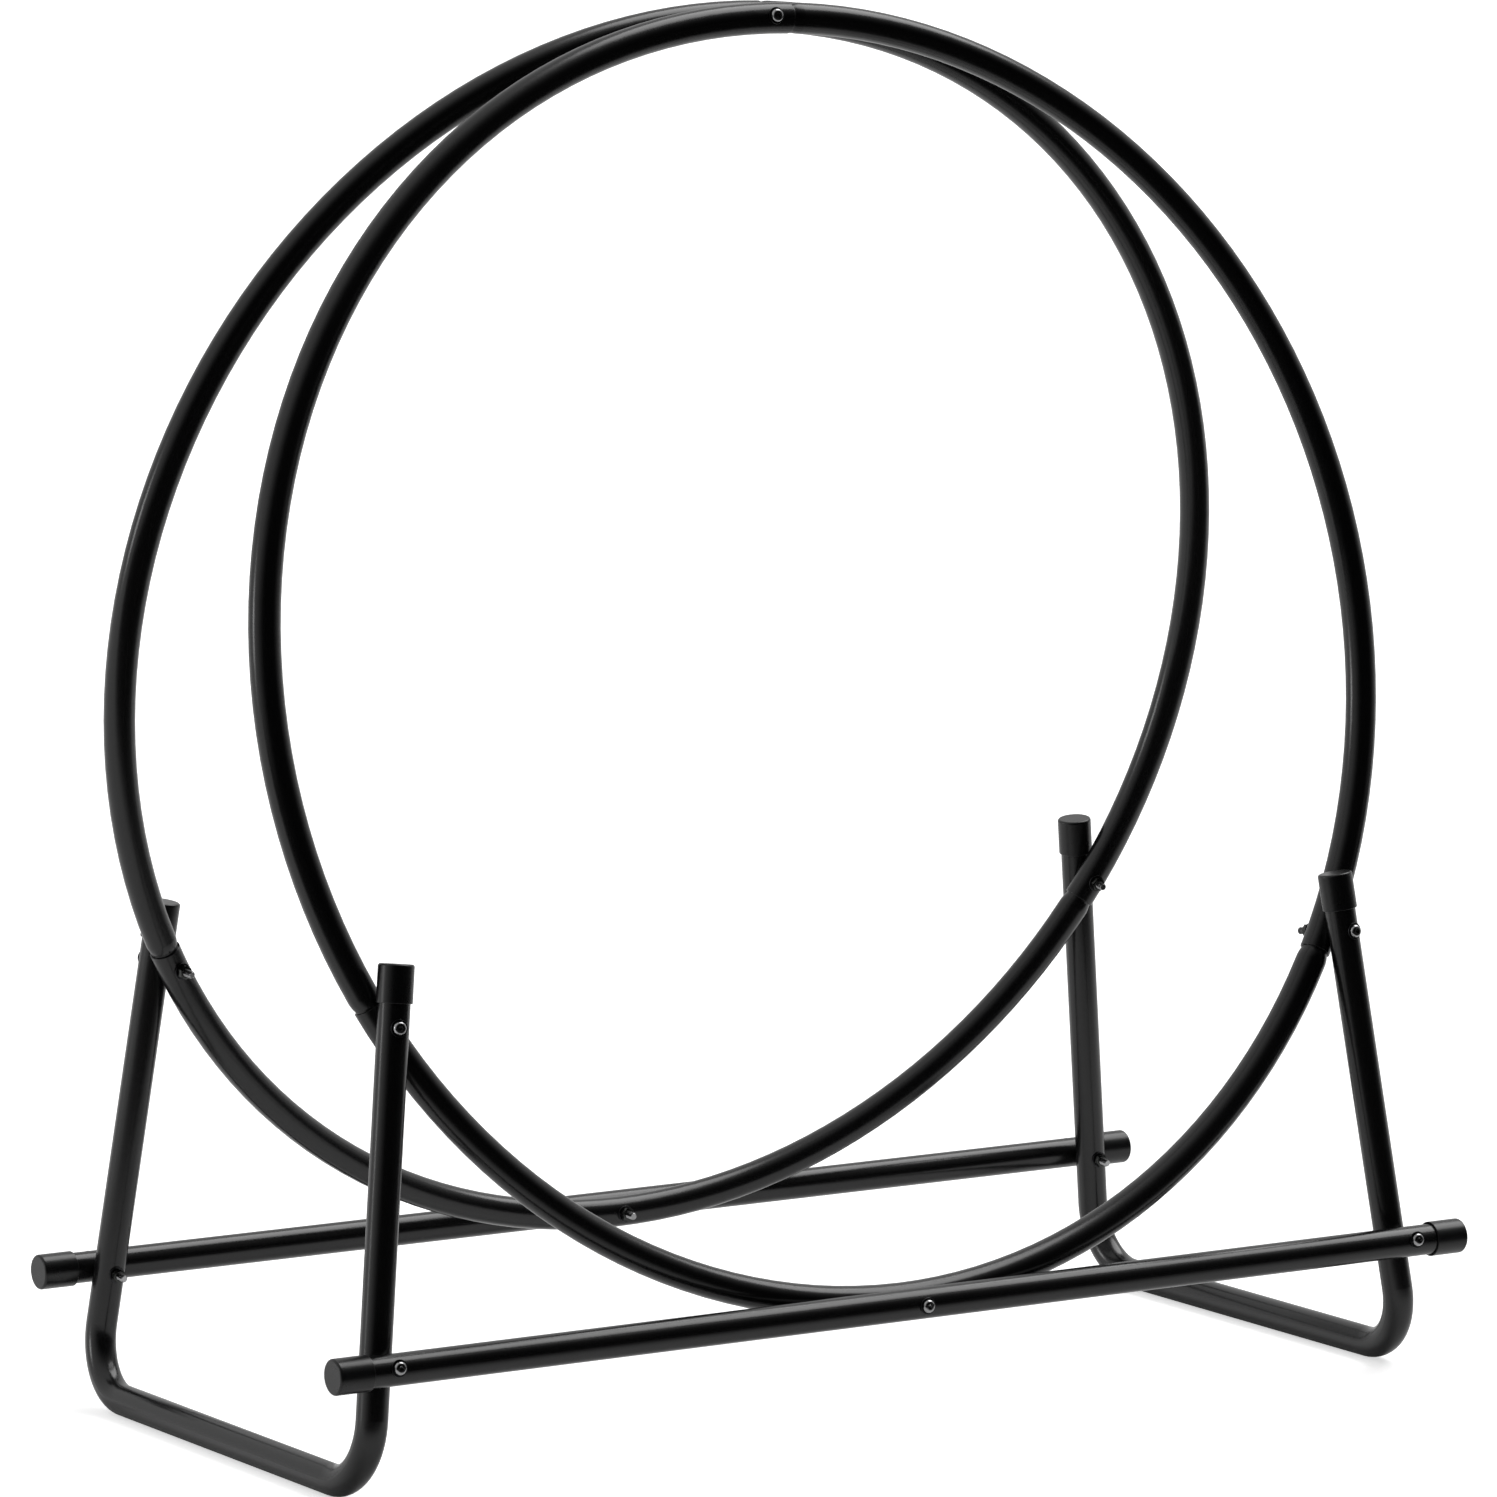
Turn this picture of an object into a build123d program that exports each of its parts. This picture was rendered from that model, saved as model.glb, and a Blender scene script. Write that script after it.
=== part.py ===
from build123d import *
import math
import os

# Firewood log rack: two leaning tube hoops, held by two bent foot frames and two base rails.
# The rack's length runs along X and its depth along Y, with +Z up. Millimetres and degrees,
# apart from hoop_lean, which is in radians.
# The origin is on the floor, midway between the feet. The front of the rack faces -Y.

# Tube stock, used for every frame member
tube_diameter = 25.0
tube_wall = 1.2
contact_gap = 0.15          # paint film between two tubes that are bolted side by side

# Hoops, each made of identical arcs that plug into each other
hoop_radius = 508.0         # to the tube's centreline
hoop_top_gap = 19.1         # between the two tubes where the leaning hoops come closest
arcs_per_hoop = 3
lip_to_bolt = 18.0          # from a socket's lip back to the bolt that locks it
swage_depth = 40.0          # reduced end, from the lip into the socket
swage_clearance = 0.15      # between the reduced end and the socket, each side
shoulder_length = 8.0       # rounded taper from the full tube down to the reduced end
shoulder_gap = 1.5          # reduced neck left showing between lip and shoulder
lip_round = 0.4
swage_lead = 0.5            # chamfer on the reduced end

# Base rails, outside the legs
rail_spacing = 484.2        # axis to axis
rail_height = 108.6         # axis above the floor, and the height of the hoops' lowest point

# Foot frames, one bent tube each
foot_spacing = 973.6        # base bar to base bar, axis to axis
foot_bend_radius = 50.0     # to the tube's centreline

# Push-on end caps
cap_length = 30.0
cap_wall = 1.5
cap_end = 2.5
cap_clearance = 0.1         # each side of the tube
cap_round = 2.0             # outer edge of the closed end
cap_mouth_round = 0.5       # outer edge of the mouth
leg_cap_to_bolt = 18.5      # from a leg's upper bolt to the mouth of the cap above it, or more
leg_cap_to_hoop = 0.4       # least gap between that cap and the hoop, which moves the cap up
rail_cap_to_bolt = 21.0     # from a rail's end bolt to the mouth of the cap beside it

# M6 button-head bolts
bolt_diameter = 6.0
bolt_hole_clearance = 0.25  # each side of the shank, in the tube walls
bolt_tip_chamfer = 0.8
long_bolt_end = 7.75        # past the nut, on the bolts through two tubes
short_bolt_end = 2.9        # past the nut, on the bolts through the hoop tops
dome_diameter = 10.6
dome_height = 3.3
dome_flat_diameter = 5.2
dome_edge_slope = 0.15      # how far the dome leans in as it leaves its seat, for each unit it rises
socket_across_flats = 4.0
socket_depth = 2.4
seat_gap = 0.05             # paint film under a head or a washer

# Nuts, and washers under both heads and nuts
nut_across_flats = 10.0
nut_height = 5.0
nut_corner_chamfer = 0.7
thread_clearance = 0.1      # each side of the shank, in the nut
washer_diameter = 13.6
washer_thickness = 1.0
washer_clearance = 0.2      # each side of the shank

# Values that follow from the sizes above
tube_radius = tube_diameter / 2
bore_radius = tube_radius - tube_wall
neck_radius = bore_radius - swage_clearance
neck_bore_radius = neck_radius - tube_wall
tube_pitch = tube_diameter + contact_gap
bolt_radius = bolt_diameter / 2
arc_pitch = 360 / arcs_per_hoop
shoulder_sections = 6       # circles that the taper is drawn through
settle_rounds = 30          # turns of the loop that settles a leg's two leans
cap_move = 0.1              # one step of a leg's cap away from its bolt
radius_match = 0.001        # how closely an edge's radius and centre pick it out
centre_match = 0.01
first_bolt_angle = 90.0     # the joint at the top of the hoop
standing = (Align.CENTER, Align.CENTER, Align.MIN)
hoop_bottom_y = rail_spacing / 2 - tube_pitch
hoop_top_y = (tube_diameter + hoop_top_gap) / 2
hoop_lean = math.asin((hoop_bottom_y - hoop_top_y) / (2 * hoop_radius))
cap_skirt = cap_length - cap_end
cap_radius = tube_radius + cap_clearance + cap_wall


def hoop_degrees(length):
    """Angle at the hoop's centre that a length along the centreline covers."""
    return math.degrees(length / hoop_radius)


def hoop_plane(side):
    """Local frame of a hoop: x along the rack, y up the leaning hoop. side is -1 front, 1 rear."""
    centre_y = side * (hoop_bottom_y + hoop_top_y) / 2
    centre_z = rail_height + hoop_radius * math.cos(hoop_lean)
    up = Vector(0, -side * math.sin(hoop_lean), math.cos(hoop_lean))
    across = Vector(1, 0, 0)
    return Plane(origin=(0, centre_y, centre_z), x_dir=across, z_dir=across.cross(up))


def hoop_point(side, angle):
    """Point on a hoop's centreline."""
    turn = math.radians(angle)
    local = Vector(hoop_radius * math.cos(turn), hoop_radius * math.sin(turn), 0)
    return hoop_plane(side).from_local_coords(local)


def hoop_tangent(side, angle):
    """Direction of a hoop's centreline at an angle, counter-clockwise."""
    turn = math.radians(angle)
    frame = hoop_plane(side)
    return frame.y_dir * math.cos(turn) - frame.x_dir * math.sin(turn)


def solve_front_right_leg():
    """Leg line that touches the hoop's side joint and the rail, and meets the base bar.

    Returns the leg's direction, the point where the hoop is bolted to it and the outward
    direction of that bolt. Each turn of the loop settles the line's two leans further.
    """
    bolt_angle = first_bolt_angle - arc_pitch
    on_hoop = hoop_point(-1, bolt_angle)
    along_hoop = hoop_tangent(-1, bolt_angle)
    direction = Vector(0, 0, 1)
    for settle in range(settle_rounds):
        outward = direction.cross(along_hoop).normalized()
        if outward.Y > 0:
            outward = outward * -1
        on_leg = on_hoop + outward * tube_pitch
        lean_x = (on_leg.X - foot_spacing / 2) / (on_leg.Z - tube_radius)
        slant = math.hypot(direction.Y, direction.Z) / direction.Z
        rail_cross_y = -(rail_spacing / 2 - tube_pitch * slant)
        lean_y = (on_leg.Y - rail_cross_y) / (on_leg.Z - rail_height)
        direction = Vector(lean_x, lean_y, 1).normalized()
    return direction, on_leg, outward


leg_direction, leg_bolt_point, leg_bolt_outward = solve_front_right_leg()


def leg_point(height):
    """Point on the front right leg's axis at a height above the floor."""
    return leg_bolt_point + leg_direction * ((height - leg_bolt_point.Z) / leg_direction.Z)


def gap_beside_hoop(above_bolt):
    """Gap between the hoop and a leg's cap whose mouth is this far above the leg's bolt."""
    mouth = hoop_plane(-1).to_local_coords(leg_bolt_point + leg_direction * above_bolt)
    off_centreline = math.hypot(math.hypot(mouth.X, mouth.Y) - hoop_radius, mouth.Z)
    return off_centreline - tube_radius - cap_radius


def leg_cap_mouth():
    """Distance from a leg's bolt to its cap, at which the cap stands clear of the hoop."""
    above_bolt = leg_cap_to_bolt
    while gap_beside_hoop(above_bolt) < leg_cap_to_hoop:
        above_bolt += cap_move
    return above_bolt


leg_top = leg_bolt_point + leg_direction * (leg_cap_mouth() + cap_skirt)
rail_half_length = leg_point(rail_height).X + rail_cap_to_bolt + cap_skirt


def place(point, x_side, y_side):
    """Turn a front right point or direction into the one in another corner."""
    return Vector(x_side * point.X, -y_side * point.Y, point.Z)


# Bolts: where the head sits, which way the shank goes, what it clamps and its length

class BoltPlace:
    def __init__(self, outer_point, inward, tubes, end_past_nut):
        self.seat = outer_point - inward * (tube_radius + seat_gap + washer_thickness)
        self.inward = inward
        clamped = tubes * tube_diameter + (tubes - 1) * contact_gap
        self.nut_depth = clamped + 2 * (seat_gap + washer_thickness)
        self.length = self.nut_depth + nut_height + end_past_nut

    def at(self, depth):
        """Location on the bolt's axis, with z pointing inward."""
        return Plane(origin=self.seat + self.inward * depth, z_dir=self.inward).location

    def drill(self):
        """Clearance hole through everything that the bolt clamps."""
        hole_radius = bolt_radius + bolt_hole_clearance
        reach = self.nut_depth + tube_diameter
        cutter = Cylinder(hole_radius, reach, align=standing)
        return self.at(-tube_radius) * cutter


def hoop_top_bolt(side):
    """Bolt that locks the joint at the top of a hoop."""
    inward = Vector(hoop_plane(side).z_dir) * side
    return BoltPlace(hoop_point(side, first_bolt_angle), inward, 1, short_bolt_end)


def leg_bolt(x_side, y_side):
    """Bolt that holds a hoop's side joint to a leg."""
    on_leg = place(leg_bolt_point, x_side, y_side)
    inward = place(leg_bolt_outward, x_side, y_side) * -1
    return BoltPlace(on_leg, inward, 2, long_bolt_end)


def rail_end_bolt(x_side, y_side):
    """Bolt that holds a rail to a leg, square to both."""
    outward = Vector(1, 0, 0).cross(leg_direction).normalized()
    on_rail = leg_point(rail_height) + outward * tube_pitch
    inward = place(outward, x_side, y_side) * -1
    return BoltPlace(place(on_rail, x_side, y_side), inward, 2, long_bolt_end)


def rail_middle_bolt(side):
    """Bolt that holds a hoop's lowest point to a rail."""
    on_rail = Vector(0, side * rail_spacing / 2, rail_height)
    return BoltPlace(on_rail, Vector(0, -side, 0), 2, long_bolt_end)


corners = {
    "front_left": (-1, -1),
    "front_right": (1, -1),
    "rear_left": (-1, 1),
    "rear_right": (1, 1),
}
sides = {"front": -1, "rear": 1}

top_bolts = {name: hoop_top_bolt(side) for name, side in sides.items()}
leg_bolts = {name: leg_bolt(*corner) for name, corner in corners.items()}
rail_end_bolts = {name: rail_end_bolt(*corner) for name, corner in corners.items()}
rail_middle_bolts = {name: rail_middle_bolt(side) for name, side in sides.items()}


# Tubes

def ring_span(outer, inner, start, end):
    """Stretch of hoop tube between two angles, in the hoop's local frame, solid if inner is 0."""
    ring = Circle(outer) - Circle(inner) if inner else Circle(outer)
    section = Plane.XZ * Pos(hoop_radius, 0, 0) * ring
    return Rot(0, 0, start) * revolve(section, Axis.Z, revolution_arc=end - start)


def shoulder_span(start, end):
    """Rounded taper between two angles, from the full tube to the neck, leaving the full tube smoothly."""
    drop = tube_radius - neck_radius
    profile_radius = (shoulder_length**2 + drop**2) / (2 * drop)
    sections = []
    for step in range(shoulder_sections):
        share = step / (shoulder_sections - 1)
        fall = profile_radius - math.sqrt(profile_radius**2 - (share * shoulder_length) ** 2)
        turned = Rot(0, 0, start + share * (end - start)) * Plane.XZ.location
        sections.append(turned * Pos(hoop_radius, 0, 0) * Circle(tube_radius - fall))
    centreline = CenterArc((0, 0), hoop_radius, start, end - start)
    taper = sweep(sections, path=centreline, multisection=True)
    return taper - ring_span(neck_bore_radius, 0, start, end)


def hoop_arc():
    """One arc: a plain socket at the start and a swaged end that fits the next arc's socket."""
    lip = first_bolt_angle - hoop_degrees(lip_to_bolt)
    next_lip = lip + arc_pitch
    shoulder_end = next_lip - hoop_degrees(shoulder_gap)
    shoulder_start = shoulder_end - hoop_degrees(shoulder_length)
    neck_end = next_lip + hoop_degrees(swage_depth)
    body = ring_span(tube_radius, bore_radius, lip, shoulder_start)
    neck = ring_span(neck_radius, neck_bore_radius, shoulder_start, neck_end)
    arc = body + shoulder_span(shoulder_start, shoulder_end) + neck
    arc = fillet(edge_round(arc, tube_radius, lip), lip_round)
    return chamfer(edge_round(arc, neck_radius, neck_end), swage_lead)


def edge_round(arc, radius, angle):
    """The circular edge of an arc with a given section radius, at a given angle."""
    turn = math.radians(angle)
    centre = Vector(hoop_radius * math.cos(turn), hoop_radius * math.sin(turn), 0)
    circles = arc.edges().filter_by(GeomType.CIRCLE)
    same_size = circles.filter_by(lambda edge: abs(edge.radius - radius) < radius_match)
    return same_size.filter_by(lambda edge: (edge.arc_center - centre).length < centre_match)


def drilled(tube, bolts):
    """Tube with the clearance holes of its bolts."""
    for bolt in bolts:
        tube = tube - bolt.drill()
    return tube


def foot_frame(x_side):
    """Bent foot: a base bar on the floor and two leaning legs, from one tube."""
    corner = leg_point(tube_radius)
    front = [place(leg_top, x_side, -1), place(corner, x_side, -1)]
    rear = [place(corner, x_side, 1), place(leg_top, x_side, 1)]
    path = FilletPolyline(*front, *rear, radius=foot_bend_radius)
    section = Plane(origin=path @ 0, z_dir=path % 0) * (Circle(tube_radius) - Circle(bore_radius))
    return sweep(section, path=path)


def base_rail(side):
    """Straight rail along the rack."""
    middle = Plane(origin=(0, side * rail_spacing / 2, rail_height), z_dir=(1, 0, 0))
    return extrude(middle * (Circle(tube_radius) - Circle(bore_radius)), rail_half_length, both=True)


def end_cap(tube_end, outward):
    """Push-on cap with a rounded end, seated on the end of a tube."""
    socket_radius = tube_radius + cap_clearance
    mouth = Pos(0, 0, -cap_skirt)
    body = mouth * Cylinder(cap_radius, cap_length, align=standing)
    body = fillet(body.edges().sort_by(Axis.Z)[-1], cap_round)
    body = fillet(body.edges().sort_by(Axis.Z)[0], cap_mouth_round)
    socket = mouth * Cylinder(socket_radius, cap_skirt, align=standing)
    return Plane(origin=tube_end, z_dir=outward).location * (body - socket)


# Fasteners, made along +Z with the head's seat at the origin

def bolt_solid(length):
    """Button-head bolt with a domed head and a hexagon socket."""
    dome_edge = (dome_diameter / 2, 0)
    flat_edge = (dome_flat_diameter / 2, -dome_height)
    outline = Polyline((0, -dome_height), (0, 0), dome_edge)
    curve = TangentArc(dome_edge, flat_edge, tangent=(-dome_edge_slope, -1))
    profile = make_face(outline + curve + Line(flat_edge, (0, -dome_height)))
    dome = revolve(Plane.XZ * profile, Axis.Z)
    socket = extrude(RegularPolygon(socket_across_flats / 2, 6, major_radius=False), socket_depth)
    shank = Cylinder(bolt_radius, length, align=standing)
    shank = chamfer(shank.edges().sort_by(Axis.Z)[-1], bolt_tip_chamfer)
    return dome + shank - Pos(0, 0, -dome_height) * socket


def nut_solid():
    """Hexagon nut with chamfered corners."""
    blank = extrude(RegularPolygon(nut_across_flats / 2, 6, major_radius=False), nut_height)
    corner_radius = nut_across_flats / math.sqrt(3)
    turned = Cylinder(corner_radius, nut_height, align=standing)
    turned = chamfer(turned.edges().filter_by(GeomType.CIRCLE), nut_corner_chamfer)
    bore = Cylinder(bolt_radius + thread_clearance, nut_height, align=standing)
    return (blank & turned) - bore


def washer_solid():
    """Plain washer."""
    ring = Circle(washer_diameter / 2) - Circle(bolt_radius + washer_clearance)
    return extrude(ring, washer_thickness)


def fastener_set(label, bolts):
    """Nodes for the bolts, washers and nuts of one kind of joint."""
    bolt_group = [bolt.at(0) * bolt_solid(bolt.length) for bolt in bolts.values()]
    head_washers = [bolt.at(0) * washer_solid() for bolt in bolts.values()]
    nut_washers = [bolt.at(bolt.nut_depth - washer_thickness) * washer_solid() for bolt in bolts.values()]
    nut_group = [bolt.at(bolt.nut_depth) * nut_solid() for bolt in bolts.values()]
    return {
        label + "_bolts": bolt_group,
        label + "_washers": head_washers + nut_washers,
        label + "_nuts": nut_group,
    }


# Assembly

nodes = {}

arc_names = ["upper_left", "lower", "upper_right"]
arc = hoop_arc()
for side_name, side in sides.items():
    joints = [top_bolts[side_name], leg_bolts[side_name + "_left"], leg_bolts[side_name + "_right"]]
    for index, arc_name in enumerate(arc_names):
        placed = hoop_plane(side).location * Rot(0, 0, index * arc_pitch) * arc
        through = [joints[index], joints[(index + 1) % arcs_per_hoop]]
        if arc_name == "lower":
            through.append(rail_middle_bolts[side_name])
        nodes[side_name + "_hoop_" + arc_name + "_arc"] = drilled(placed, through)

for foot_name, x_side in (("left", -1), ("right", 1)):
    through = [leg_bolts[side_name + "_" + foot_name] for side_name in sides]
    through += [rail_end_bolts[side_name + "_" + foot_name] for side_name in sides]
    nodes[foot_name + "_foot_frame"] = drilled(foot_frame(x_side), through)

for side_name, side in sides.items():
    through = [rail_end_bolts[side_name + "_left"], rail_end_bolts[side_name + "_right"]]
    through.append(rail_middle_bolts[side_name])
    nodes[side_name + "_base_rail"] = drilled(base_rail(side), through)

for corner_name, (x_side, y_side) in corners.items():
    leg_end = place(leg_top, x_side, y_side)
    nodes[corner_name + "_leg_cap"] = end_cap(leg_end, place(leg_direction, x_side, y_side))
    rail_end = Vector(x_side * rail_half_length, y_side * rail_spacing / 2, rail_height)
    nodes[corner_name + "_rail_cap"] = end_cap(rail_end, Vector(x_side, 0, 0))

nodes.update(fastener_set("hoop_top", top_bolts))
nodes.update(fastener_set("leg_to_hoop", leg_bolts))
nodes.update(fastener_set("rail_to_leg", rail_end_bolts))
nodes.update(fastener_set("rail_to_hoop", rail_middle_bolts))

os.makedirs("parts", exist_ok=True)
for name, shape in nodes.items():
    solids = shape if isinstance(shape, list) else [shape]
    export_step(Compound(children=solids), "parts/" + name + ".step")
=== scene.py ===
# %% [markdown]
# # A firewood log rack, finished in Blender
# The rack is two tube hoops that lean towards each other, bolted to two bent feet and two
# straight rails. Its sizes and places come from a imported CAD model, which is loaded here as
# a fixed frame. Nothing in it is moved. This script adds what a CAD model leaves out: the
# powder coat on the tubes, the moulded grain of the end caps, and bolts, nuts and washers
# with real threads, sockets and chamfers. All lengths are in metres.

# %% Load the frame
import math

import bmesh
import bpy
import numpy as np
from mathutils import Matrix, Vector


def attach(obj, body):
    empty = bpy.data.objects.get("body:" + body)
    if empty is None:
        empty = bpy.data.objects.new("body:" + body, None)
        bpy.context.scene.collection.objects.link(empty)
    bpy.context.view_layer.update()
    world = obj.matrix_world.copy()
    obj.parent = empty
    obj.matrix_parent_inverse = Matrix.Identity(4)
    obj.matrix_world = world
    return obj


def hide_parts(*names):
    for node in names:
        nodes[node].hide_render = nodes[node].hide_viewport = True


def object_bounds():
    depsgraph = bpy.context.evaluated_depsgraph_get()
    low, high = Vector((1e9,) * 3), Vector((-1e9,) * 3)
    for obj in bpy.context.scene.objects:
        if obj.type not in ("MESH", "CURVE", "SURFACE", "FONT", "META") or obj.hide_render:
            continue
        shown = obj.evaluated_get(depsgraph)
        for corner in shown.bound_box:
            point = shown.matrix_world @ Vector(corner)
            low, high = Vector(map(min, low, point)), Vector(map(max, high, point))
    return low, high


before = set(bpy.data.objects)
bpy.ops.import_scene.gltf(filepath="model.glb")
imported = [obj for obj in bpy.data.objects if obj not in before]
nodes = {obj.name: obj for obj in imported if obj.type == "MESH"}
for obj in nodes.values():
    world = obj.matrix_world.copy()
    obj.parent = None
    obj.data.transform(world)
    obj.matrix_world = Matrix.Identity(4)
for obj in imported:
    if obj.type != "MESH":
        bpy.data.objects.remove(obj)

cad_low, cad_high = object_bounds()
rack_middle = (cad_low + cad_high) / 2
millimetre = 0.001
print("CAD nodes:", len(nodes), "size:", [round(side, 4) for side in cad_high - cad_low])

# %% [markdown]
# ## The camera
# A product picture of something this open is taken from far away with a long lens, so the
# front and rear hoops keep nearly the same size. The camera could be placed by typing in
# its position. It is described here as a photographer would: how far round the rack, how
# high, how far off, and which point of the rack it looks at.

# %% Place the camera
camera_turn = math.radians(31.885)
camera_rise = math.radians(7.539)
camera_roll = math.radians(-0.118)
camera_distance = 6.652
camera_lens = 199.55
aim_offset = Vector((-0.0069, -0.0017, -0.0378))

into_scene = Vector((math.sin(camera_turn), math.cos(camera_turn), 0))
sight = into_scene * math.cos(camera_rise) - Vector((0, 0, math.sin(camera_rise)))
camera_data = bpy.data.cameras.new("camera")
camera_data.sensor_width = 36
camera_data.lens = camera_lens
camera_data.clip_start = 0.1
camera_data.clip_end = 200
camera = bpy.data.objects.new("camera", camera_data)
bpy.context.scene.collection.objects.link(camera)
bpy.context.scene.camera = camera

camera_right = Vector((math.cos(camera_turn), -math.sin(camera_turn), 0))
camera_up = camera_right.cross(sight)
turned = Matrix((camera_right, camera_up, -sight)).transposed().to_4x4()
rolled = turned @ Matrix.Rotation(camera_roll, 4, "Z")
camera_place = rack_middle + aim_offset - sight * camera_distance
camera.matrix_world = Matrix.Translation(camera_place) @ rolled
print("camera at", [round(value, 3) for value in camera_place])

# %% [markdown]
# ## The floor and the room
# A black tube shows almost nothing of its own: what is seen is the studio mirrored in it.
# The photographer's usual set is a white sweep under and behind the object, with the dark
# room in front of it. A large plane makes the floor. A node mix keeps it white to the eye,
# with a little glow that softens the shadows, while the tubes mirror a floor that darkens
# towards the front. The world does the same for what is above the horizon. Both fade along
# a fixed direction in the room, from the front of the rack to the back.

# %% Helpers that add nodes
def add_node(tree, kind, **settings):
    """Add a node to a tree and set its own settings."""
    node = tree.nodes.new(kind)
    for name, value in settings.items():
        setattr(node, name, value)
    return node


def fade_along(tree, coordinate, direction, span, values):
    """A number that fades along a direction: values at the two ends of a span of distance."""
    reach = add_node(tree, "ShaderNodeVectorMath", operation="DOT_PRODUCT")
    reach.inputs[1].default_value = direction
    tree.links.new(coordinate, reach.inputs[0])
    fade = add_node(tree, "ShaderNodeMapRange", interpolation_type="SMOOTHSTEP")
    fade.inputs["From Min"].default_value = span[0]
    fade.inputs["From Max"].default_value = span[1]
    fade.inputs["To Min"].default_value = values[0]
    fade.inputs["To Max"].default_value = values[1]
    tree.links.new(reach.outputs["Value"], fade.inputs["Value"])
    return fade.outputs["Result"]


# %% The floor
floor_half_width = 60.0
floor_white = (0.93, 0.93, 0.93, 1)
floor_glow = 0.6
floor_fade_span = (-0.72, -0.26)
floor_fade_values = (0.02, 0.95)
rack_depth_direction = Vector((0, 1, 0))

floor_bmesh = bmesh.new()
bmesh.ops.create_grid(floor_bmesh, x_segments=1, y_segments=1, size=floor_half_width)
floor_mesh = bpy.data.meshes.new("studio_floor")
floor_bmesh.to_mesh(floor_mesh)
floor_bmesh.free()
floor = bpy.data.objects.new("studio_floor", floor_mesh)
bpy.context.scene.collection.objects.link(floor)

floor_material = bpy.data.materials.new("studio_paper")
floor_material.use_nodes = True
tree = floor_material.node_tree
tree.nodes.clear()
paper = add_node(tree, "ShaderNodeBsdfDiffuse")
paper.inputs["Color"].default_value = floor_white
glow = add_node(tree, "ShaderNodeEmission")
glow.inputs["Strength"].default_value = floor_glow
seen = add_node(tree, "ShaderNodeAddShader")
tree.links.new(paper.outputs[0], seen.inputs[0])
tree.links.new(glow.outputs[0], seen.inputs[1])
mirrored = add_node(tree, "ShaderNodeBsdfDiffuse")
place = add_node(tree, "ShaderNodeTexCoord")
fade = fade_along(tree, place.outputs["Object"], rack_depth_direction,
                  floor_fade_span, floor_fade_values)
tree.links.new(fade, mirrored.inputs["Color"])
light_path = add_node(tree, "ShaderNodeLightPath")
choice = add_node(tree, "ShaderNodeMixShader")
tree.links.new(light_path.outputs["Is Camera Ray"], choice.inputs[0])
tree.links.new(mirrored.outputs[0], choice.inputs[1])
tree.links.new(seen.outputs[0], choice.inputs[2])
floor_output = add_node(tree, "ShaderNodeOutputMaterial")
tree.links.new(choice.outputs[0], floor_output.inputs["Surface"])
floor_mesh.materials.append(floor_material)
print("floor", 2 * floor_half_width, "m wide")

# %% The world
room_fade_span = (-0.8, 0.15)
room_fade_values = (0.004, 0.85)

world = bpy.data.worlds.new("studio_room")
bpy.context.scene.world = world
world.use_nodes = True
tree = world.node_tree
tree.nodes.clear()
seen = add_node(tree, "ShaderNodeBackground")
seen.inputs["Color"].default_value = (1, 1, 1, 1)
mirrored = add_node(tree, "ShaderNodeBackground")
place = add_node(tree, "ShaderNodeTexCoord")
fade = fade_along(tree, place.outputs["Generated"], rack_depth_direction,
                  room_fade_span, room_fade_values)
tree.links.new(fade, mirrored.inputs["Strength"])
light_path = add_node(tree, "ShaderNodeLightPath")
choice = add_node(tree, "ShaderNodeMixShader")
tree.links.new(light_path.outputs["Is Camera Ray"], choice.inputs[0])
tree.links.new(mirrored.outputs[0], choice.inputs[1])
tree.links.new(seen.outputs[0], choice.inputs[2])
world_output = add_node(tree, "ShaderNodeOutputWorld")
tree.links.new(choice.outputs[0], world_output.inputs["Surface"])
print("world fades", room_fade_values)

# %% [markdown]
# ## The lights
# One wide soft light hangs high on the right. It draws the pale band along the top of every
# tube that lies level and whitens the floor evenly. Area lamps would do it, but they leave the
# far floor grey, so these are sun lamps with a wide angle: a disc in the sky that is as
# bright everywhere. A small, low one on the left draws the faint strip on the upright tubes
# and gives the bolt heads their second sparkle.

# %% Hang the lights
def hang_light(name, towards, strength, width_degrees):
    """Add a soft, distant round light that shines from a direction."""
    lamp = bpy.data.lights.new(name, "SUN")
    lamp.energy = strength
    lamp.angle = math.radians(width_degrees)
    holder = bpy.data.objects.new(name, lamp)
    holder.rotation_mode = "QUATERNION"
    holder.rotation_quaternion = (-towards).to_track_quat("-Z", "Y")
    bpy.context.scene.collection.objects.link(holder)


def from_camera(turn_degrees, rise_degrees):
    """Direction to a light, as a turn to the left of the camera and a rise above the floor."""
    level = Matrix.Rotation(math.radians(-turn_degrees), 3, "Z") @ -into_scene
    rise = math.radians(rise_degrees)
    return level * math.cos(rise) + Vector((0, 0, math.sin(rise)))


overhead_turn, overhead_rise = -130, 58
overhead_strength, overhead_width = 1.5, 43
left_turn, left_rise = 82, 8
left_strength, left_width = 0.19, 12
hang_light("overhead_softbox", from_camera(overhead_turn, overhead_rise),
           overhead_strength, overhead_width)
hang_light("left_spot", from_camera(left_turn, left_rise), left_strength, left_width)
bpy.context.scene.view_settings.view_transform = "Standard"

# %% [markdown]
# ## Surface effects that several finishes share
# Powder coat, moulded plastic and plated steel differ in colour and gloss, but all of them
# are uneven at two scales: a fine grain that breaks up reflections, and broad, faint
# changes of gloss from handling and from the process. Each effect is a node group, built
# once, with its sizes as inputs. The groups read the piece's own coordinates, so the grain
# keeps its real size on every piece.

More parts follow.
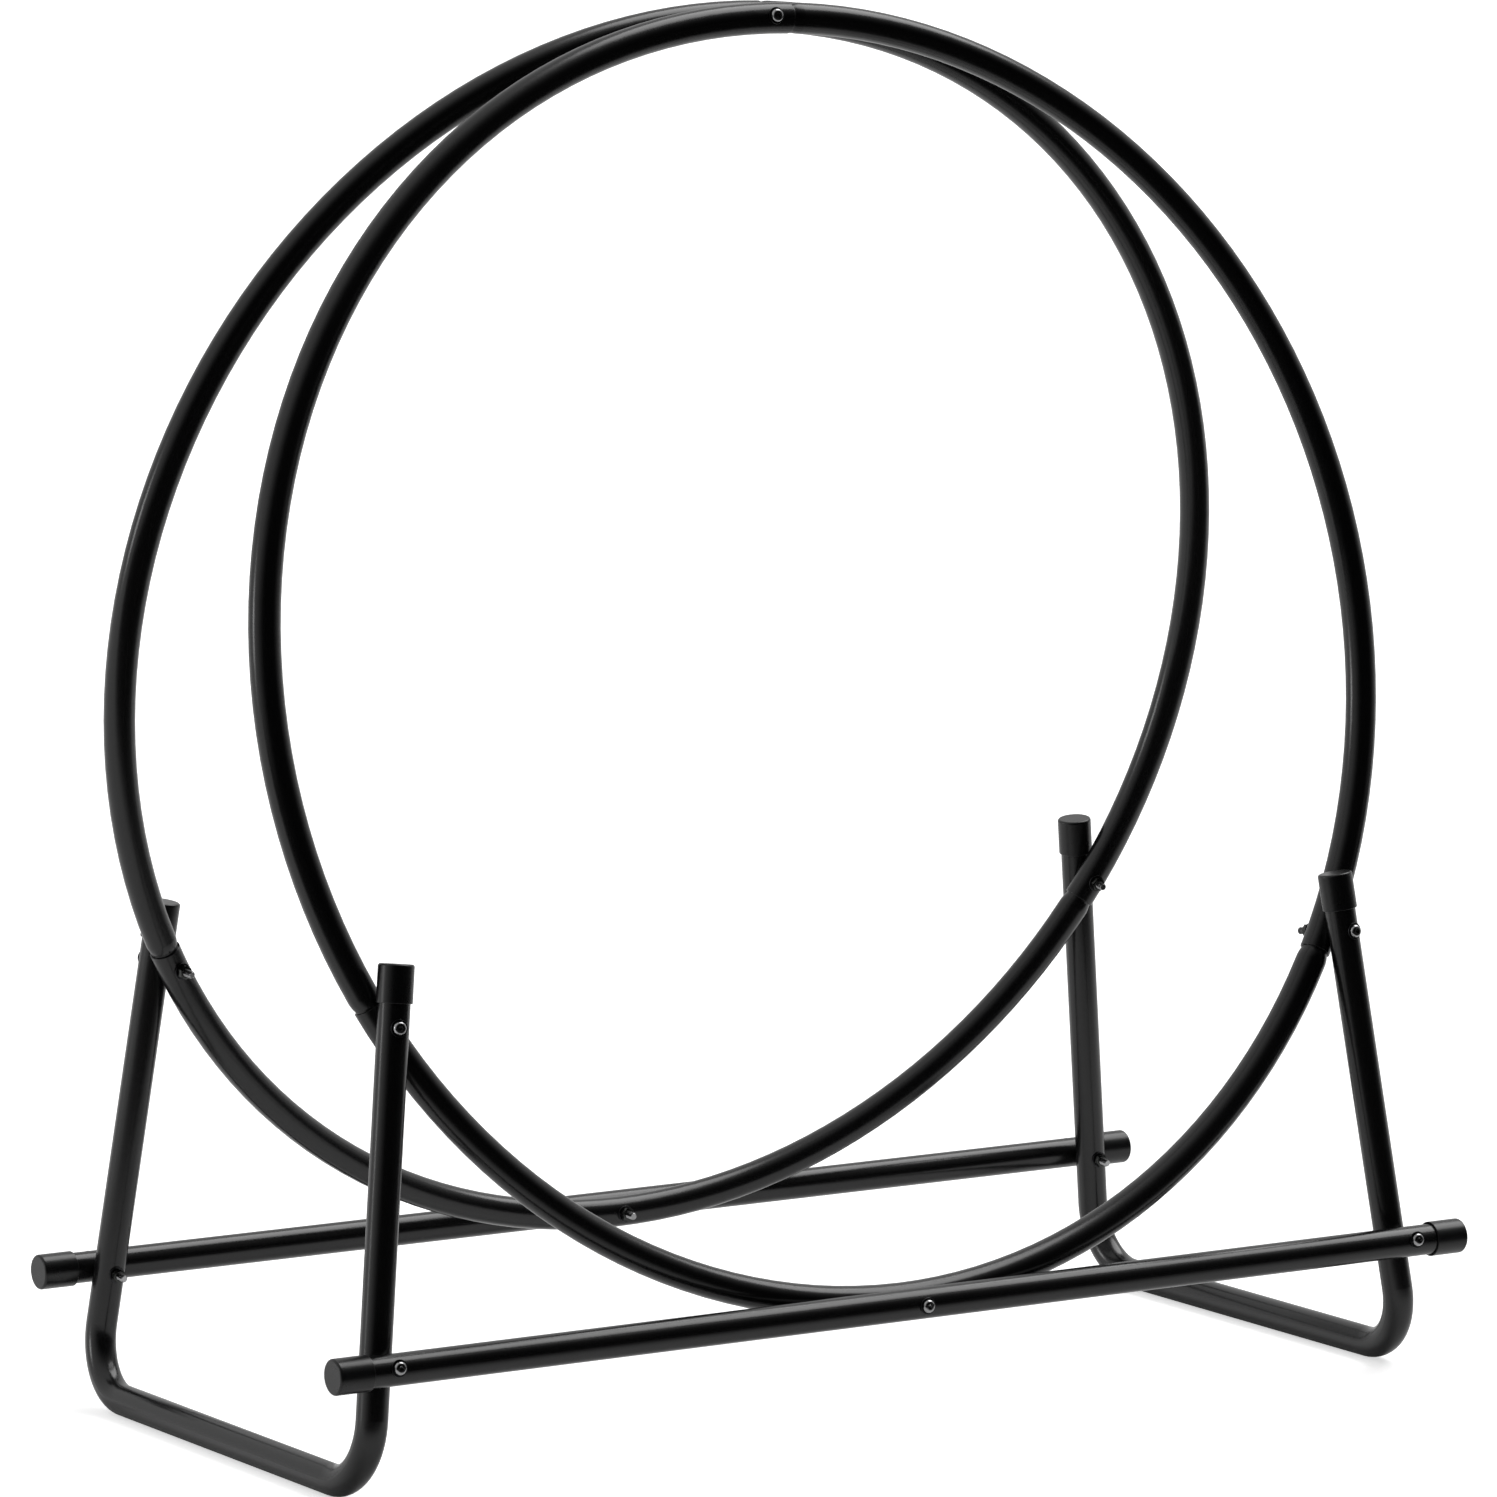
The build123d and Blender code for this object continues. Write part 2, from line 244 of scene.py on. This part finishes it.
# %% Build the shared groups
def new_group(name, inputs, outputs):
    """Start a shader node group with number inputs and outputs, and a vector called Place."""
    group = bpy.data.node_groups.new(name, "ShaderNodeTree")
    group.interface.new_socket("Place", in_out="INPUT", socket_type="NodeSocketVector")
    for socket in inputs:
        group.interface.new_socket(socket, in_out="INPUT", socket_type="NodeSocketFloat")
    for socket in outputs:
        group.interface.new_socket(socket, in_out="OUTPUT", socket_type="NodeSocketFloat")
    return group, group.nodes.new("NodeGroupInput"), group.nodes.new("NodeGroupOutput")


def number_node(tree, operation, first, second):
    """A math node on two values, each a socket or a number."""
    node = add_node(tree, "ShaderNodeMath", operation=operation)
    for socket, value in zip(node.inputs, (first, second)):
        if isinstance(value, (int, float)):
            socket.default_value = value
        else:
            tree.links.new(value, socket)
    return node.outputs[0]


noise_middle = 0.5
patch_detail = 4.0
speck_detail = 1.0
speck_sharpness = 12.0


def noise_node(tree, place, scale, detail=2.0):
    """A noise value from 0 to 1."""
    node = add_node(tree, "ShaderNodeTexNoise")
    node.inputs["Detail"].default_value = detail
    tree.links.new(place, node.inputs["Vector"])
    if isinstance(scale, (int, float)):
        node.inputs["Scale"].default_value = scale
    else:
        tree.links.new(scale, node.inputs["Scale"])
    return node.outputs["Fac"]


def two_scale_grain():
    """Height made of broad ripples and fine grain, each of a given size in metres."""
    names = ["Ripple size", "Grain size", "Grain share"]
    group, given, made = new_group("two_scale_grain", names, ["Height"])
    ripple_scale = number_node(group, "DIVIDE", 1.0, given.outputs["Ripple size"])
    grain_scale = number_node(group, "DIVIDE", 1.0, given.outputs["Grain size"])
    ripples = noise_node(group, given.outputs["Place"], ripple_scale)
    grain = noise_node(group, given.outputs["Place"], grain_scale)
    shared = number_node(group, "MULTIPLY", grain, given.outputs["Grain share"])
    height = number_node(group, "ADD", ripples, shared)
    group.links.new(height, made.inputs["Height"])
    return group


def handling_marks():
    """Roughness that wanders a little about a middle value, with soft smudges."""
    names = ["Middle", "Change", "Patch size"]
    group, given, made = new_group("handling_marks", names, ["Roughness"])
    patch_scale = number_node(group, "DIVIDE", 1.0, given.outputs["Patch size"])
    patches = noise_node(group, given.outputs["Place"], patch_scale, patch_detail)
    centred = number_node(group, "SUBTRACT", patches, noise_middle)
    change = number_node(group, "MULTIPLY", centred, given.outputs["Change"])
    roughness = number_node(group, "ADD", given.outputs["Middle"], change)
    group.links.new(roughness, made.inputs["Roughness"])
    return group


def fine_speckle():
    """A mask of small scattered specks, 1 in the specks and 0 between them."""
    names = ["Speck size", "Cover"]
    group, given, made = new_group("fine_speckle", names, ["Mask"])
    speck_scale = number_node(group, "DIVIDE", 1.0, given.outputs["Speck size"])
    specks = noise_node(group, given.outputs["Place"], speck_scale, speck_detail)
    level = number_node(group, "SUBTRACT", 1.0, given.outputs["Cover"])
    above = number_node(group, "SUBTRACT", specks, level)
    mask = number_node(group, "MULTIPLY", above, speck_sharpness)
    mask.node.use_clamp = True
    group.links.new(mask, made.inputs["Mask"])
    return group


grain_group = two_scale_grain()
marks_group = handling_marks()
speckle_group = fine_speckle()
print("node groups:", [group.name for group in bpy.data.node_groups])

# %% [markdown]
# ## One recipe for every finish
# The five finishes have the same build: a dark colour with lighter specks, a roughness
# that wanders, and a bump from the grain. A function holds the recipe and each finish
# gives its own numbers, so that they are easy to compare. What is the same all over a
# finish, such as its metallic share, is set on the shader itself.

# %% The recipe
def place_group(tree, group, place, values):
    """Put a shared group into a material, with its numbers."""
    node = tree.nodes.new("ShaderNodeGroup")
    node.node_tree = group
    tree.links.new(place, node.inputs["Place"])
    for name, value in values.items():
        node.inputs[name].default_value = value
    return node


def make_finish(name, colours, constants, grain, marks, specks, bump_height):
    """A material with speckled colour, wandering roughness and a fine bump."""
    material = bpy.data.materials.new(name)
    material.use_nodes = True
    tree = material.node_tree
    shader = tree.nodes["Principled BSDF"]
    for socket, value in constants.items():
        shader.inputs[socket].default_value = value
    place = add_node(tree, "ShaderNodeTexCoord").outputs["Object"]

    speck_node = place_group(tree, speckle_group, place, specks)
    colour = add_node(tree, "ShaderNodeMix", data_type="RGBA")
    colour.inputs["A"].default_value = (*colours[0], 1)
    colour.inputs["B"].default_value = (*colours[1], 1)
    tree.links.new(speck_node.outputs["Mask"], colour.inputs["Factor"])
    tree.links.new(colour.outputs["Result"], shader.inputs["Base Color"])

    marks_node = place_group(tree, marks_group, place, marks)
    tree.links.new(marks_node.outputs["Roughness"], shader.inputs["Roughness"])

    grain_node = place_group(tree, grain_group, place, grain)
    bump = add_node(tree, "ShaderNodeBump")
    bump.inputs["Strength"].default_value = 1.0
    bump.inputs["Distance"].default_value = bump_height
    tree.links.new(grain_node.outputs["Height"], bump.inputs["Height"])
    tree.links.new(bump.outputs["Normal"], shader.inputs["Normal"])
    return material


# %% [markdown]
# ## The powder coat on the tubes
# Powder coat is sprayed on dry and melted in an oven. It flows out nearly smooth, but keeps
# a faint orange-peel ripple of about 2 mm and a fine grain, and it stays a satin black.
# The CAD tubes have the right shape, so they stay and only get the material. Paint with a
# separate gloss layer was a choice too, but satin powder has one soft gloss, without a coat.

# %% Finish the tubes
powder_coat = make_finish(
    "satin_black_powder_coat",
    colours=((0.0050, 0.0050, 0.0053), (0.0085, 0.0085, 0.0090)),
    constants={"Metallic": 0.0, "IOR": 1.5, "Specular IOR Level": 0.5},
    grain={"Ripple size": 2.2 * millimetre, "Grain size": 0.35 * millimetre, "Grain share": 0.25},
    marks={"Middle": 0.22, "Change": 0.08, "Patch size": 60 * millimetre},
    specks={"Speck size": 0.3 * millimetre, "Cover": 0.42},
    bump_height=0.012 * millimetre,
)
tube_names = [name for name in nodes if name.endswith(("_arc", "_foot_frame", "_base_rail"))]
for name in tube_names:
    nodes[name].data.materials.clear()
    nodes[name].data.materials.append(powder_coat)
print("powder-coated tubes:", len(tube_names))

# %% [markdown]
# ## The end caps
# The caps are moulded from soft black plastic and pushed over the tube ends. The mould is
# spark-eroded, which leaves a fine even grain and a duller, slightly greyer black than the
# paint. The CAD caps already have their rounded rims, so they too only get a material.

# %% Finish the caps
cap_plastic = make_finish(
    "moulded_black_plastic",
    colours=((0.0045, 0.0045, 0.0048), (0.0085, 0.0085, 0.009)),
    constants={"Metallic": 0.0, "IOR": 1.47, "Specular IOR Level": 0.5},
    grain={"Ripple size": 0.9 * millimetre, "Grain size": 0.25 * millimetre, "Grain share": 0.8},
    marks={"Middle": 0.29, "Change": 0.10, "Patch size": 9 * millimetre},
    specks={"Speck size": 0.25 * millimetre, "Cover": 0.45},
    bump_height=0.016 * millimetre,
)
cap_names = [name for name in nodes if name.endswith("_cap")]
for name in cap_names:
    nodes[name].data.materials.clear()
    nodes[name].data.materials.append(cap_plastic)
print("end caps:", len(cap_names))

# %% [markdown]
# ## Where the bolts go
# Each fastener node of the frame holds several separate solids. A new bolt needs the place
# of its seat and the direction of its shank, and both can be read from the solid's own
# corner points: the shank lies along the direction in which the points spread furthest,
# and the seat is where they stand furthest from that line. The node is copied and its
# loose triangles merged first, because a CAD node itself is never changed.

# %% Read the solids and their axes
merge_distance = 0.001 * millimetre


def solids_of(node_name):
    """Corner points of each separate solid in a CAD node."""
    copy = bmesh.new()
    copy.from_mesh(nodes[node_name].data)
    bmesh.ops.remove_doubles(copy, verts=copy.verts, dist=merge_distance)
    unseen = set(copy.verts)
    solids = []
    while unseen:
        waiting = [unseen.pop()]
        corners = []
        while waiting:
            corner = waiting.pop()
            corners.append(tuple(corner.co))
            for edge in corner.link_edges:
                other = edge.other_vert(corner)
                if other in unseen:
                    unseen.remove(other)
                    waiting.append(other)
        solids.append(np.array(corners))
    copy.free()
    return solids


def bolt_place(corners):
    """Matrix whose origin is the seat of the head and whose Z runs down the shank, and the length."""
    middle = corners.mean(axis=0)
    along = np.linalg.svd(corners - middle, full_matrices=False)[2][0]
    depth = (corners - middle) @ along
    reach = np.linalg.norm(corners - middle - np.outer(depth, along), axis=1)
    seat_depth = depth[reach.argmax()]
    if seat_depth > 0:
        along, depth, seat_depth = -along, -depth, -seat_depth
    turn = Vector(along).to_track_quat("Z", "X").to_matrix().to_4x4()
    seat = Vector(middle + seat_depth * along)
    return Matrix.Translation(seat) @ turn, depth.max() - seat_depth


def depth_on_bolts(corners, places):
    """The bolt that a nut or washer sits on, and the middle of it as a depth below the seat."""
    low, high = corners.min(axis=0), corners.max(axis=0)
    middle = Vector((low + high) / 2)
    inside = [place.inverted() @ middle for place, length in places]
    nearest = min(range(len(places)), key=lambda index: inside[index].xy.length)
    return places[nearest][0], inside[nearest].z


joint_kinds = ("hoop_top", "leg_to_hoop", "rail_to_leg", "rail_to_hoop")
bolt_places = {
    kind: [bolt_place(corners) for corners in solids_of(kind + "_bolts")]
    for kind in joint_kinds
}
for kind, places in bolt_places.items():
    print(kind, len(places), "bolts,", round(places[0][1] / millimetre, 2), "mm under the head")

# %% [markdown]
# ## Turned parts
# Bolt heads, shanks, washers and nut blanks are all turned shapes. They could be stacked
# from cylinders, but one outline spun round the axis is closer to how a lathe makes them
# and gives clean rings of faces. The outline is a list of (radius, height) points.

# %% Helpers for turned parts
round_steps = 36


def spin_outline(bm, outline, closed=False, steps=round_steps):
    """Spin an outline of (radius, height) points once round Z."""
    corners = [bm.verts.new((radius, 0, height)) for radius, height in outline]
    ends = corners[1:] + corners[:1] if closed else corners[1:]
    edges = [bm.edges.new(pair) for pair in zip(corners, ends)]
    bmesh.ops.spin(bm, geom=corners + edges, cent=(0, 0, 0), axis=(0, 0, 1), angle=math.tau,
                   steps=steps, use_merge=True)
    bmesh.ops.remove_doubles(bm, verts=bm.verts, dist=merge_distance)


def soften_edges(bm, edges, width, segments):
    """Round off edges with a narrow bevel."""
    bmesh.ops.bevel(bm, geom=edges, offset=width, segments=segments, profile=0.5,
                    affect="EDGES", material=-1)


def open_edges(bm):
    """Edges with a face on one side only."""
    return [edge for edge in bm.edges if len(edge.link_faces) == 1]


def to_template(bm, name):
    """Keep a finished shape as a mesh, to be placed several times."""
    bmesh.ops.remove_doubles(bm, verts=bm.verts, dist=merge_distance)
    bmesh.ops.recalc_face_normals(bm, faces=bm.faces)
    print(name, "faces", len(bm.faces), "open edges", len(open_edges(bm)))
    mesh = bpy.data.meshes.new(name)
    bm.to_mesh(mesh)
    bm.free()
    return mesh


# %% [markdown]
# ## The washer
# A washer is punched from sheet, so its edges are a little rounded. Without that rounding
# no line of light shows round its rim.

# %% Make the washer
washer_radius = 6.8 * millimetre
washer_hole = 3.2 * millimetre
washer_thickness = 1.0 * millimetre
washer_edge = 0.22 * millimetre
washer_steps = 64
sharp_corner = math.radians(60)


def make_washer():
    """Plain washer from Z = 0 up, with rounded edges."""
    bm = bmesh.new()
    outline = [(washer_hole, 0), (washer_radius, 0), (washer_radius, washer_thickness)]
    outline.append((washer_hole, washer_thickness))
    spin_outline(bm, outline, closed=True, steps=washer_steps)
    bmesh.ops.recalc_face_normals(bm, faces=bm.faces)
    rims = [edge for edge in bm.edges if edge.calc_face_angle() > sharp_corner]
    soften_edges(bm, rims, washer_edge, 3)
    return to_template(bm, "washer")


washer_template = make_washer()

# %% [markdown]
# ## The nut
# A hexagon nut starts as hexagon bar. The lathe cuts a cone on each end, and where the cone
# meets the six flats it leaves the curved edges that make a nut look like a nut. Here the
# order is reversed: a chamfered round blank is spun, and then six planes cut the flats.

# %% Make the nut
nut_across_flats = 10.0 * millimetre
nut_height = 5.0 * millimetre
nut_bore = 3.05 * millimetre
nut_bore_chamfer = 0.35 * millimetre
nut_face_radius = 4.7 * millimetre
nut_chamfer_slope = math.tan(math.radians(30))
nut_corner_round = 0.12 * millimetre
nut_steps = 72
nut_sides = 6
blank_allowance = 1.01


def cut_flat(bm, outward, distance):
    """Cut everything beyond a plane away and close the cut with a flat face."""
    everything = bm.verts[:] + bm.edges[:] + bm.faces[:]
    cut = bmesh.ops.bisect_plane(bm, geom=everything, plane_co=outward * distance,
                                 plane_no=outward, clear_outer=True)
    rim = [part for part in cut["geom_cut"] if isinstance(part, bmesh.types.BMEdge)]
    bmesh.ops.edgeloop_fill(bm, edges=rim)


def make_nut():
    """Chamfered hexagon nut from Z = 0 up."""
    blank_radius = nut_across_flats / math.sqrt(3) * blank_allowance
    chamfer = (blank_radius - nut_face_radius) * nut_chamfer_slope
    half = [
        (nut_bore, nut_bore_chamfer),
        (nut_bore + nut_bore_chamfer, 0),
        (nut_face_radius, 0),
        (blank_radius, chamfer),
    ]
    outline = half + [(radius, nut_height - height) for radius, height in reversed(half)]
    bm = bmesh.new()
    spin_outline(bm, outline, closed=True, steps=nut_steps)
    for side in range(nut_sides):
        angle = math.tau * side / nut_sides
        cut_flat(bm, Vector((math.cos(angle), math.sin(angle), 0)), nut_across_flats / 2)
    bmesh.ops.remove_doubles(bm, verts=bm.verts, dist=merge_distance)
    long_edge = nut_height / 2
    corners = [edge for edge in bm.edges
               if abs(edge.verts[0].co.z - edge.verts[1].co.z) > long_edge
               and edge.verts[0].co.xy.length > nut_face_radius]
    soften_edges(bm, corners, nut_corner_round, 2)
    return to_template(bm, "nut")


nut_template = make_nut()

# %% [markdown]
# ## The bolt
# The bolts have a low domed head with a hexagon socket, and their threaded ends stick out
# past the nuts at the back, where they show. The head and the plain shank are one spun
# outline. The thread is a spin as well, with a step along the axis at each turn: one tooth
# is wound up the bolt like a spring. Its first turn is pressed flat onto the end of the
# shank and its last turn onto the tip, so the whole bolt is one closed skin.

# %% Sizes of the bolt
dome_radius = 5.3 * millimetre
dome_height = 3.3 * millimetre
dome_rim = 0.35 * millimetre
dome_flat_radius = 2.75 * millimetre
socket_apothem = 2.0 * millimetre
socket_depth = 2.2 * millimetre
socket_cone = 0.7 * millimetre
shank_radius = 3.0 * millimetre
neck_fillet = 0.3 * millimetre
dome_steps = 8
seat_break = 0.1 * dome_rim
socket_lip_reach = 1.03
socket_lip_depth = 0.1 * millimetre
thread_pitch = 1.0 * millimetre
thread_root = 2.42 * millimetre
thread_crest_share = 0.16
tip_radius = 2.25 * millimetre
thread_inside_nut = 3.0 * millimetre

# %% Head and shank
def extrude_ring(bm, ring):
    """Extrude a ring of edges in place, and return the new ring's edges and corners."""
    made = bmesh.ops.extrude_edge_only(bm, edges=ring)["geom"]
    corners = [part for part in made if isinstance(part, bmesh.types.BMVert)]
    known = set(corners)
    edges = [part for part in made if isinstance(part, bmesh.types.BMEdge)]
    return [edge for edge in edges if set(edge.verts) <= known], corners


def hexagon_reach(corner, apothem):
    """Distance from the axis to a hexagon's side, in the direction of a corner point."""
    angle = math.atan2(corner.y, corner.x) + math.pi / 6
    return apothem / math.cos(angle % (math.pi / 3) - math.pi / 6)


def add_head(bm, shank_length):
    """Domed head above Z = 0 and a plain shank below it, open at the socket and at the shank's end."""
    outline = []
    for step in range(dome_steps + 1):
        turn = math.pi / 2 * (1 - step / dome_steps)
        radius = dome_flat_radius + (dome_radius - dome_flat_radius) * math.cos(turn)
        outline.append((radius, -dome_rim - (dome_height - dome_rim) * math.sin(turn)))
    outline.append((dome_radius, -seat_break))
    outline.append((dome_radius - seat_break, 0))
    outline.append((shank_radius + neck_fillet, 0))
    outline.append((shank_radius, neck_fillet))
    outline.append((shank_radius, shank_length))
    spin_outline(bm, outline)


def add_socket(bm):
    """Hexagon socket that closes the top of the head."""
    rim = [edge for edge in open_edges(bm) if edge.verts[0].co.z < -0.5 * dome_height]
    for reach_change, depth in ((socket_lip_reach, 0), (1, socket_lip_depth), (1, socket_depth)):
        rim, corners = extrude_ring(bm, rim)
        for corner in corners:
            reach = hexagon_reach(corner.co, socket_apothem) * reach_change
            corner.co.xy = corner.co.xy.normalized() * reach
            corner.co.z = depth - dome_height
    rim, corners = extrude_ring(bm, rim)
    for corner in corners:
        corner.co = Vector((0, 0, socket_depth + socket_cone - dome_height))


# %% Thread
def add_thread(bm, start, end):
    """Helical thread between two heights on Z, closed at the far end by a chamfered tip."""
    turns = math.ceil((end - start) / thread_pitch) + 2
    half_crest = thread_crest_share / 2 * thread_pitch
    bottom = start - thread_pitch
    tooth = [
        (thread_root, bottom),
        (shank_radius, bottom + thread_pitch / 2 - half_crest),
        (shank_radius, bottom + thread_pitch / 2 + half_crest),
        (thread_root, bottom + thread_pitch),
    ]
    wound = bmesh.new()
    corners = [wound.verts.new((radius, 0, height)) for radius, height in tooth]
    edges = [wound.edges.new(pair) for pair in zip(corners, corners[1:])]
    bmesh.ops.spin(wound, geom=corners + edges, cent=(0, 0, 0), axis=(0, 0, 1),
                   dvec=(0, 0, thread_pitch / round_steps), angle=math.tau * turns,
                   steps=round_steps * turns, use_merge=False)
    for corner in wound.verts:
        flat = corner.co.xy
        height = min(max(corner.co.z, start), end)
        reach = min(flat.length, tip_radius + end - height)
        if corner.co.z < start + merge_distance:
            reach = shank_radius
        corner.co.xy = flat.normalized() * reach
        corner.co.z = height
    bmesh.ops.remove_doubles(wound, verts=wound.verts, dist=merge_distance)
    bmesh.ops.dissolve_degenerate(wound, edges=wound.edges, dist=merge_distance)
    tip = [edge for edge in open_edges(wound) if edge.verts[0].co.z > end - merge_distance]
    bmesh.ops.edgeloop_fill(wound, edges=tip)
    winding = bpy.data.meshes.new("winding")
    wound.to_mesh(winding)
    wound.free()
    bm.from_mesh(winding)
    bpy.data.meshes.remove(winding)


def make_bolt(name, length, nut_depth):
    """Button-head bolt of a given length under the head, with a thread from inside the nut on."""
    bm = bmesh.new()
    thread_start = nut_depth + nut_height - thread_inside_nut
    add_head(bm, thread_start)
    add_socket(bm)
    add_thread(bm, thread_start, length)
    return to_template(bm, name)


# %% [markdown]
# ## Placing the fasteners
# The templates are copied to every place that the frame gives. All bolts of one kind of
# joint make one piece, and so do their nuts and washers, as in the frame's own nodes, which
# they stand for. The nuts are turned by different amounts, as a spanner leaves them.

# %% The finishes of the fasteners
bolt_steel = make_finish(
    "glossy_black_plated_steel",
    colours=((0.38, 0.38, 0.385), (0.45, 0.45, 0.455)),
    constants={"Metallic": 1.0, "IOR": 1.5},
    grain={"Ripple size": 0.8 * millimetre, "Grain size": 0.12 * millimetre, "Grain share": 0.3},
    marks={"Middle": 0.13, "Change": 0.08, "Patch size": 3 * millimetre},
    specks={"Speck size": 0.15 * millimetre, "Cover": 0.40},
    bump_height=0.002 * millimetre,
)
washer_steel = make_finish(
    "satin_black_oxide_washer",
    colours=((0.035, 0.035, 0.037), (0.07, 0.07, 0.072)),
    constants={"Metallic": 1.0, "IOR": 1.5},
    grain={"Ripple size": 0.7 * millimetre, "Grain size": 0.12 * millimetre, "Grain share": 0.5},
    marks={"Middle": 0.30, "Change": 0.14, "Patch size": 4 * millimetre},
    specks={"Speck size": 0.15 * millimetre, "Cover": 0.42},
    bump_height=0.004 * millimetre,
)
nut_steel = make_finish(
    "semi_gloss_black_oxide_nut",
    colours=((0.055, 0.057, 0.055), (0.10, 0.102, 0.098)),
    constants={"Metallic": 1.0, "IOR": 1.5},
    grain={"Ripple size": 0.8 * millimetre, "Grain size": 0.15 * millimetre, "Grain share": 0.4},
    marks={"Middle": 0.26, "Change": 0.14, "Patch size": 4 * millimetre},
    specks={"Speck size": 0.2 * millimetre, "Cover": 0.42},
    bump_height=0.004 * millimetre,
)

# %% Place them
smooth_limit = math.radians(32)


def place_copies(name, template, matrices, material, node_name):
    """One piece made of copies of a template, standing for a CAD node."""
    bm = bmesh.new()
    for matrix in matrices:
        already = len(bm.verts)
        bm.from_mesh(template)
        bm.verts.ensure_lookup_table()
        bmesh.ops.transform(bm, matrix=matrix, verts=bm.verts[already:])
    mesh = bpy.data.meshes.new(name)
    bm.to_mesh(mesh)
    bm.free()
    mesh.shade_smooth()
    mesh.set_sharp_from_angle(angle=smooth_limit)
    mesh.materials.append(material)
    piece = bpy.data.objects.new(name, mesh)
    bpy.context.scene.collection.objects.link(piece)
    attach(piece, "root")
    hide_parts(node_name)
    print(name, len(matrices), "copies,", len(mesh.polygons), "faces")
    return piece


def lay_on_bolts(node_name, places, thickness, turn_each=0.0):
    """Matrices for the nuts or washers of a node, each with its near face on the right depth."""
    matrices = []
    for index, corners in enumerate(solids_of(node_name)):
        place, middle_depth = depth_on_bolts(corners, places)
        lift = Matrix.Translation((0, 0, middle_depth - thickness / 2))
        turn = Matrix.Rotation(turn_each * (index + 1), 4, "Z")
        matrices.append(place @ lift @ turn)
    return matrices


nut_turn = math.radians(23)
for kind, places in bolt_places.items():
    nut_matrices = lay_on_bolts(kind + "_nuts", places, nut_height, nut_turn)
    washer_matrices = lay_on_bolts(kind + "_washers", places, washer_thickness)
    nut_depth = min((place.inverted() @ nut_matrices[0].translation).z for place, length in places
                    if (place.inverted() @ nut_matrices[0].translation).xy.length < shank_radius)
    bolt_template = make_bolt(kind + "_bolt", places[0][1], nut_depth)
    bolt_matrices = [place for place, length in places]
    place_copies(kind + "_socket_bolts", bolt_template, bolt_matrices, bolt_steel,
                 kind + "_bolts")
    place_copies(kind + "_hex_nuts", nut_template, nut_matrices, nut_steel,
                 kind + "_nuts")
    place_copies(kind + "_punched_washers", washer_template, washer_matrices, washer_steel,
                 kind + "_washers")
